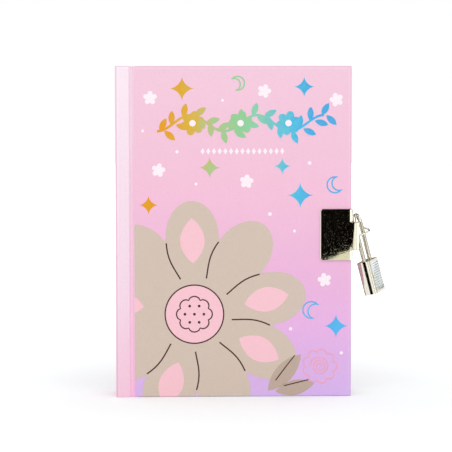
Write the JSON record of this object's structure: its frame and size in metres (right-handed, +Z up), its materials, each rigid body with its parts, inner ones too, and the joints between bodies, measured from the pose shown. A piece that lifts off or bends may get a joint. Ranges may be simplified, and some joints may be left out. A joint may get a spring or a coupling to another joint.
{
  "type": "secret diary",
  "caption": "Small hardback diary with a printed cover, sewn leaves, a chromed hasp clasp on the fore edge and a small long-shackle padlock, standing on its tail edge",
  "frame": {"origin": "on the surface that the diary stands on, under the middle of the whole object with its padlock", "axes": "+Z runs up the book from tail to head, the front cover faces -Y, the spine is at -X and the fore edge with the lock at +X"},
  "size_m": [0.1446, 0.0236, 0.175],
  "materials": {
    "greyboard": "raw grey binder's board",
    "printed_paper": "matt laminated print, pink running down to lilac",
    "endpaper": "uncoated white paper",
    "page_paper": "uncoated ivory paper",
    "lining_cloth": "thin woven spine lining",
    "band_cotton": "sewn cotton band",
    "nickel_plate": "bright nickel plated steel",
    "cast_zinc": "raw zinc casting",
    "spring_steel": "bright spring strip",
    "plug_brass": "turned brass"
  },
  "bodies": {
    "text_block": {"spine_board": "greyboard", "spine_cover_paper": "printed_paper", "spine_lining": "lining_cloth", "head_band": "band_cotton", "tail_band": "band_cotton", "sewn_back": "page_paper", "leaves_8": "page_paper", "back_flyleaf": "endpaper"},
    "front_cover": {"front_board": "greyboard", "front_cover_paper": "printed_paper", "front_pastedown": "endpaper", "front_clasp_plate": "nickel_plate"},
    "back_cover": {"back_board": "greyboard", "back_cover_paper": "printed_paper", "back_pastedown": "endpaper", "back_clasp_plate": "nickel_plate", "lock_staple": "nickel_plate"},
    "flyleaf": {"front_flyleaf": "endpaper"},
    "packet_1": {"leaves_1": "page_paper"},
    "packet_2": {"leaves_2": "page_paper"},
    "packet_3": {"leaves_3": "page_paper"},
    "packet_4": {"leaves_4": "page_paper"},
    "packet_5": {"leaves_5": "page_paper"},
    "packet_6": {"leaves_6": "page_paper"},
    "packet_7": {"leaves_7": "page_paper"},
    "shackle": {"padlock_shackle": "nickel_plate"},
    "padlock_body": {"padlock_front_shell": "nickel_plate", "padlock_back_shell": "nickel_plate", "padlock_core": "cast_zinc", "catch_spring": "spring_steel", "padlock_rivet_1": "nickel_plate", "padlock_rivet_2": "nickel_plate", "padlock_rivet_3": "nickel_plate"},
    "plug": {"key_plug": "plug_brass"}
  },
  "joints": [
    {"name": "front_cover_hinge", "type": "hinge", "parent": "text_block", "child": "front_cover", "pos_m": [-0.06377, -0.0112, 0.0875], "axis": [0, 0, -1], "range_deg": [0, 180]},
    {"name": "back_cover_hinge", "type": "hinge", "parent": "text_block", "child": "back_cover", "pos_m": [-0.06377, 0.0112, 0.0875], "axis": [0, 0, 1], "range_deg": [0, 180]},
    {"name": "flyleaf_turn", "type": "hinge", "parent": "text_block", "child": "flyleaf", "pos_m": [-0.06302, -0.0064, 0.0875], "axis": [0, 0, -1], "range_deg": [0, 62]},
    {"name": "leaves_1_turn", "type": "hinge", "parent": "text_block", "child": "packet_1", "pos_m": [-0.06302, -0.0064, 0.0875], "axis": [0, 0, -1], "range_deg": [0, 57]},
    {"name": "leaves_2_turn", "type": "hinge", "parent": "text_block", "child": "packet_2", "pos_m": [-0.06302, -0.0064, 0.0875], "axis": [0, 0, -1], "range_deg": [0, 50]},
    {"name": "leaves_3_turn", "type": "hinge", "parent": "text_block", "child": "packet_3", "pos_m": [-0.06302, -0.0064, 0.0875], "axis": [0, 0, -1], "range_deg": [0, 43]},
    {"name": "leaves_4_turn", "type": "hinge", "parent": "text_block", "child": "packet_4", "pos_m": [-0.06302, -0.0064, 0.0875], "axis": [0, 0, -1], "range_deg": [0, 36]},
    {"name": "leaves_5_turn", "type": "hinge", "parent": "text_block", "child": "packet_5", "pos_m": [-0.06302, -0.0064, 0.0875], "axis": [0, 0, -1], "range_deg": [0, 28]},
    {"name": "leaves_6_turn", "type": "hinge", "parent": "text_block", "child": "packet_6", "pos_m": [-0.06302, -0.0064, 0.0875], "axis": [0, 0, -1], "range_deg": [0, 21]},
    {"name": "leaves_7_turn", "type": "hinge", "parent": "text_block", "child": "packet_7", "pos_m": [-0.06302, -0.0064, 0.0875], "axis": [0, 0, -1], "range_deg": [0, 14]},
    {"name": "padlock_swing", "type": "hinge", "parent": "back_cover", "child": "shackle", "pos_m": [0.05744, 0, 0.0879], "axis": [0, -1, 0], "range_deg": [0, 7]},
    {"name": "padlock_pull", "type": "slide", "parent": "shackle", "child": "padlock_body", "axis": [0.2521, 0, -0.9677], "range_m": [0, 0.0046], "deforming": ["catch_spring"]},
    {"name": "key_turn", "type": "hinge", "parent": "padlock_body", "child": "plug", "pos_m": [0.06621, 0, 0.05424], "axis": [-0.2521, 0, 0.9677], "range_deg": [0, 90]}
  ],
  "couplings": [
    {"joint": "flyleaf_turn", "follows": "front_cover_hinge", "ratio": 0.34},
    {"joint": "leaves_1_turn", "follows": "front_cover_hinge", "ratio": 0.31},
    {"joint": "leaves_2_turn", "follows": "front_cover_hinge", "ratio": 0.27},
    {"joint": "leaves_3_turn", "follows": "front_cover_hinge", "ratio": 0.23},
    {"joint": "leaves_4_turn", "follows": "front_cover_hinge", "ratio": 0.19},
    {"joint": "leaves_5_turn", "follows": "front_cover_hinge", "ratio": 0.15},
    {"joint": "leaves_6_turn", "follows": "front_cover_hinge", "ratio": 0.11},
    {"joint": "leaves_7_turn", "follows": "front_cover_hinge", "ratio": 0.07}
  ]
}
